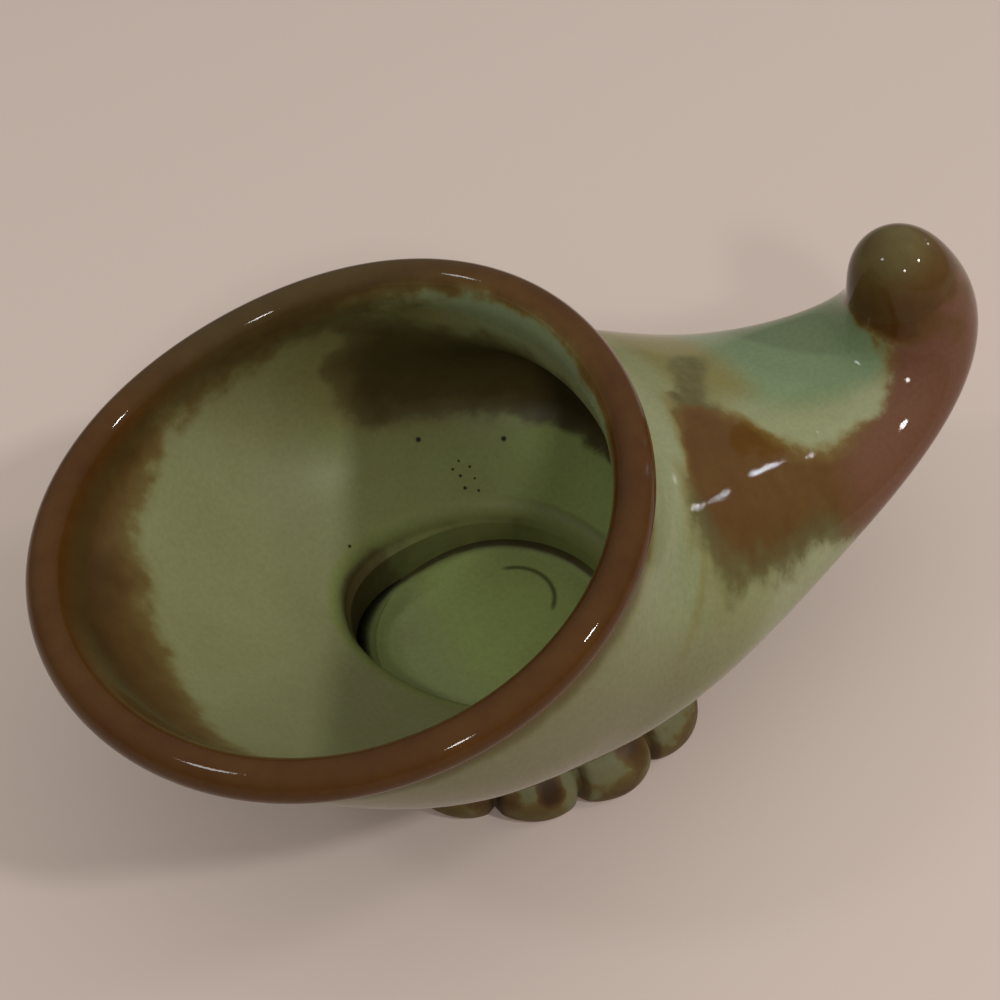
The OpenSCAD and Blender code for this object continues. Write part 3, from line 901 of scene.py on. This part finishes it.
glazeColours = {
    "sage": (0.185, 0.190, 0.088), "mint": (0.235, 0.250, 0.140), "teal": (0.150, 0.205, 0.110),
    "leaf": (0.175, 0.225, 0.072), "olive": (0.170, 0.155, 0.055), "mauveAndReflection": (0.118, 0.052, 0.029),
    "pool": (0.335, 0.415, 0.140), "dusk": (0.150, 0.140, 0.073), "deep": (0.020, 0.017, 0.004),
    "clay": (0.32, 0.17, 0.10), "pinhole": (0.015, 0.012, 0.004), "scratch": (0.045, 0.040, 0.010),
}
brownStops = [(0.34, (0.165, 0.130, 0.045)), (0.46, (0.120, 0.074, 0.020)), (0.56, (0.098, 0.048, 0.012)),
              (0.72, (0.074, 0.031, 0.006)), (1.0, (0.036, 0.010, 0.002))]
umberStops = [(0.34, (0.120, 0.112, 0.044)), (0.48, (0.088, 0.072, 0.026)), (0.64, (0.066, 0.046, 0.015)),
              (1.0, (0.034, 0.022, 0.007))]
finish = {
    "broad": (45, 4, 0.55), "ragged": (260, 6, 0.65), "fine": (1100, 3, 0.6),  # scale, detail, roughness
    "raggedEdge": 0.22, "fineEdge": 0.12, "brownEdge": (0.26, 0.44), "mintVaries": 0.6, "oliveVaries": 0.5,
    "grainy": 0.35, "rough": 0.03, "roughVaries": 0.02, "roughBare": 0.6, "roughMatte": 0.45,
    "ior": 1.5, "specular": 0.17, "bump": 0.05, "bumpDeep": 0.6,
}
pinholeCore = 0.4  # share of a pinhole that is fully dark
pinholes = [  # inside the bowl: station, degrees and size
    (0.438, 112, 0.75), (0.572, 116, 0.75), (0.508, 126, 0.4), (0.520, 129, 0.45), (0.532, 126, 0.4),
    (0.527, 134, 0.5), (0.540, 131, 0.35), (0.515, 123, 0.35), (0.545, 136, 0.4), (0.347, 146, 0.5),
]
crescent = {  # scratch in the floor's glaze
    "middle": (6.5, 7.0, 5.2), "reach": 7.55, "towards": 15, "half": 73, "wide": 0.85, "fade": 2,
    "strength": 0.8,
}


def makeGlaze(name, holes=False, scratch=False):
    material = bpy.data.materials.new(name)
    material.use_nodes = True
    tree, colours = material.node_tree, glazeColours
    shader = tree.nodes["Principled BSDF"]

    def node(kind, settings=None, **inputs):
        return addNode(tree, kind, settings, **inputs)

    def field(label):
        return node("ShaderNodeAttribute", {"attribute_name": label}).outputs["Fac"]

    def sums(operation, first, second):
        return node("ShaderNodeMath", {"operation": operation}, i0=first, i1=second).outputs[0]

    def plus(first, second, share):
        return sums("ADD", first, sums("MULTIPLY", second, share))

    def vectors(operation, first, output, **second):
        return node("ShaderNodeVectorMath", {"operation": operation}, i0=first, **second).outputs[output]

    def spread(value, start, full):
        made = node("ShaderNodeMapRange", {"interpolation_type": "SMOOTHSTEP"}, Value=value,
                    From_Min=start, From_Max=full)
        return made.outputs["Result"]

    def blend(factor, first, second, kind="MIX"):
        settings = {"data_type": "RGBA", "blend_type": kind, "clamp_factor": True}
        made = node("ShaderNodeMix", settings, i0=factor)
        for place, colour in ((6, first), (7, second)):
            if isinstance(colour, bpy.types.NodeSocket):
                tree.links.new(colour, made.inputs[place])
            else:
                made.inputs[place].default_value = (*colour, 1)
        return made.outputs[2]

    def ramp(value, stops):
        made = node("ShaderNodeValToRGB", Fac=value)
        marks = made.color_ramp.elements
        marks[0].position, marks[1].position = stops[0][0], stops[-1][0]
        marks[0].color, marks[1].color = (*stops[0][1], 1), (*stops[-1][1], 1)
        for position, colour in stops[1:-1]:
            marks.new(position).color = (*colour, 1)
        return made.outputs["Color"]

    place = node("ShaderNodeTexCoord").outputs["Object"]

    def texture(label):
        scale, detail, rough = finish[label]
        made = node("ShaderNodeTexNoise", Vector=place, Scale=scale, Detail=detail, Roughness=rough)
        return sums("SUBTRACT", made.outputs["Fac"], 0.5)

    broad, ragged, fine = texture("broad"), texture("ragged"), texture("fine")
    edge = plus(plus(field("brown"), ragged, finish["raggedEdge"]), fine, finish["fineEdge"])
    green = blend(field("leaf"), colours["sage"], colours["leaf"])
    green = blend(field("pool"), green, colours["pool"])
    green = blend(plus(field("mint"), broad, finish["mintVaries"]), green, colours["mint"])
    green = blend(field("teal"), green, colours["teal"])
    green = blend(plus(field("olive"), broad, finish["oliveVaries"]), green, colours["olive"])
    green = blend(field("dusk"), green, colours["dusk"])
    brown = blend(field("umber"), ramp(edge, brownStops), ramp(edge, umberStops))
    # mauve tint: partly the glaze's colour, partly painted reflection of the table
    brown = blend(field("mauveAndReflection"), brown, colours["mauveAndReflection"])
    glaze = blend(spread(edge, *finish["brownEdge"]), green, brown)
    grainy = plus(1.0, fine, finish["grainy"])
    grey = node("ShaderNodeCombineColor", Red=grainy, Green=grainy, Blue=grainy).outputs[0]
    glaze = blend(1.0, glaze, grey, "MULTIPLY")
    # painted shade: the deep field darkens the glaze towards near black
    glaze = blend(field("deep"), glaze, colours["deep"])
    if holes:
        shade = 0.0
        for station, degrees, size in pinholes:
            spot = Vector(hornPoint(station, math.radians(degrees), wall).tolist()) * mm
            away = vectors("DISTANCE", place, "Value", i1=spot)
            shade = sums("MAXIMUM", shade, spread(away, size * mm, size * pinholeCore * mm))
        glaze = blend(shade, glaze, colours["pinhole"])
    if scratch:
        out = vectors("SUBTRACT", place, 0, i1=Vector(crescent["middle"]) * mm)
        away = sums("SUBTRACT", vectors("LENGTH", out, "Value"), crescent["reach"] * mm)
        ahead = vectors("DOT_PRODUCT", out, "Value", i1=(*flatDirection(crescent["towards"]), 0))
        ends = math.cos(math.radians(crescent["half"])) * crescent["reach"] * mm
        line = spread(sums("ABSOLUTE", away, 0.0), crescent["wide"] * mm, 0.0)
        line = sums("MULTIPLY", line, spread(ahead, ends, ends + crescent["fade"] * mm))
        glaze = blend(sums("MULTIPLY", line, crescent["strength"]), glaze, colours["scratch"])
    bare = field("bare")
    glaze = blend(bare, glaze, colours["clay"])
    tree.links.new(glaze, shader.inputs["Base Color"])
    rough = plus(plus(finish["rough"], ragged, finish["roughVaries"]), bare, finish["roughBare"])
    rough = plus(rough, field("matte"), finish["roughMatte"])
    tree.links.new(rough, shader.inputs["Roughness"])
    shader.inputs["IOR"].default_value = finish["ior"]
    shader.inputs["Specular IOR Level"].default_value = finish["specular"]
    bump = node("ShaderNodeBump", Strength=finish["bump"], Distance=finish["bumpDeep"] * mm, Height=ragged)
    tree.links.new(bump.outputs["Normal"], shader.inputs["Normal"])
    return material


greenGlaze, brownGlaze = makeGlaze("greenGlaze"), makeGlaze("brownGlaze")
bowlGlaze, wellFloorGlaze = makeGlaze("bowlGlaze", holes=True), makeGlaze("wellFloorGlaze", scratch=True)
lobeNodes = [f"foot_lobe_{k + 1}" for k in range(lobes["count"])]
pieces = [
    (makeHornBowl(), bowlGlaze, "green_glaze", ["horn_bowl"]),
    (makeMouthRim(), brownGlaze, "brown_glaze", ["mouth_rim"]),
    (makeTail(), greenGlaze, "green_glaze", ["tail"]),
    (makeTailTip(), brownGlaze, "brown_glaze", ["tail_tip"]),
    (makeFootRing(), greenGlaze, "green_glaze", ["foot_ring"]),
    (makeFootFloor(), wellFloorGlaze, "green_glaze", ["foot_floor"]),
    (makeFootLobes(greenGlaze), greenGlaze, "green_glaze", lobeNodes),
]
for piece, glaze, slotName, nodeNames in pieces:
    piece.data.materials.clear()
    piece.data.materials.append(glaze)
    for label, values in glazeOf(piece.name).items():
        piece.data.attributes.new(label, "FLOAT", "POINT").data.foreach_set("value", values)
    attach(piece, "root")
    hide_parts(*nodeNames)
print("pieces:", len(pieces))

# Camera at the photograph's view
view = {"azimuth": -26.92, "elevation": 46.91, "roll": -0.96, "lens": 54.62, "sensor": 36,
        "target": (7.44, 14.94, 25), "distance": 285.96, "clip": (0.01, 20)}


def makeCamera():
    azimuth, elevation, roll = (math.radians(view[key]) for key in ("azimuth", "elevation", "roll"))
    flat = math.cos(elevation)
    back = Vector((math.sin(azimuth) * flat, -math.cos(azimuth) * flat, math.sin(elevation)))
    right = Vector((math.cos(azimuth), math.sin(azimuth), 0))
    up = back.cross(right)
    rolledRight = right * math.cos(roll) + up * math.sin(roll)
    rolledUp = up * math.cos(roll) - right * math.sin(roll)
    data = bpy.data.cameras.new("camera")
    data.lens, data.sensor_width = view["lens"], view["sensor"]
    data.clip_start, data.clip_end = view["clip"]
    camera = bpy.data.objects.new("camera", data)
    place = Vector(view["target"]) * mm + back * view["distance"] * mm
    turn = Matrix((rolledRight, rolledUp, back)).transposed()
    camera.matrix_world = Matrix.Translation(place) @ turn.to_4x4()
    bpy.context.scene.collection.objects.link(camera)
    bpy.context.scene.camera = camera


makeCamera()

# Table, lamps and room light
stage = {"table": (0.545, 0.455, 0.416), "tableRough": 0.5, "wide": 6.0,
         "room": (0.81, 0.77, 0.70), "horizon": 0.27, "ceiling": 0.90}


def makeTable():
    half = stage["wide"] / 2
    mesh = bpy.data.meshes.new("table")
    corners = [(-half, -half, 0), (half, -half, 0), (half, half, 0), (-half, half, 0)]
    mesh.from_pydata(corners, [], [(0, 1, 2, 3)])
    table = bpy.data.objects.new("table", mesh)
    bpy.context.scene.collection.objects.link(table)
    material = bpy.data.materials.new("tableTop")
    material.use_nodes = True
    shader = material.node_tree.nodes["Principled BSDF"]
    shader.inputs["Base Color"].default_value = (*stage["table"], 1)
    shader.inputs["Roughness"].default_value = stage["tableRough"]
    mesh.materials.append(material)


def makeLamp(name, azimuth, elevation, distance, size, share, colour, mirrored=True):
    a, e = math.radians(azimuth), math.radians(elevation)
    back = Vector((math.cos(e) * math.cos(a), math.cos(e) * math.sin(a), math.sin(e)))
    data = bpy.data.lights.new(name, "AREA")
    data.shape, data.size, data.color = "DISK", size, colour
    wattsForAll = math.pi ** 2 * (distance ** 2 + size ** 2 / 4) / math.sin(e)  # would light the table fully
    data.energy = share * wattsForAll
    lamp = bpy.data.objects.new(name, data)
    lamp.location = back * distance
    lamp.visible_glossy = mirrored
    lamp.rotation_mode = "QUATERNION"
    lamp.rotation_quaternion = back.to_track_quat("Z", "Y")
    bpy.context.scene.collection.objects.link(lamp)


makeTable()
warm, cool = (1.0, 0.97, 0.94), (0.96, 0.98, 1.0)
lamps = [  # name, azimuth from +X, elevation, distance, size, share of the table's light, colour, mirrored
    ("key", -50, 46, 1.5, 0.13, 0.20, warm), ("right", -20, 44, 1.5, 0.24, 0.08, warm, False),
    ("front", -108, 40, 1.3, 0.14, 0.11, warm), ("left", 162, 46, 1.3, 0.16, 0.06, cool),
    ("bulb1", 14, 23, 1.2, 0.009, 0.003, warm), ("bulb2", 7, 24, 1.2, 0.009, 0.003, warm),
    ("bulb3", 3, 32, 1.2, 0.009, 0.003, warm),
]
for lampPlan in lamps:
    makeLamp(*lampPlan)
print("lamps:", len(lamps))


def makeRoom():  # light that grows from the horizon to the ceiling
    world = bpy.data.worlds.new("room")
    world.use_nodes = True
    tree = world.node_tree
    place = addNode(tree, "ShaderNodeTexCoord").outputs["Generated"]
    height = addNode(tree, "ShaderNodeSeparateXYZ", i0=place).outputs["Z"]
    level = addNode(tree, "ShaderNodeMapRange", {"interpolation_type": "SMOOTHSTEP"}, Value=height,
                    To_Min=stage["horizon"], To_Max=stage["ceiling"])
    background = tree.nodes["Background"]
    background.inputs["Color"].default_value = (*stage["room"], 1)
    tree.links.new(level.outputs["Result"], background.inputs["Strength"])
    bpy.context.scene.world = world


makeRoom()
bpy.context.scene.view_settings.view_transform = "Standard"
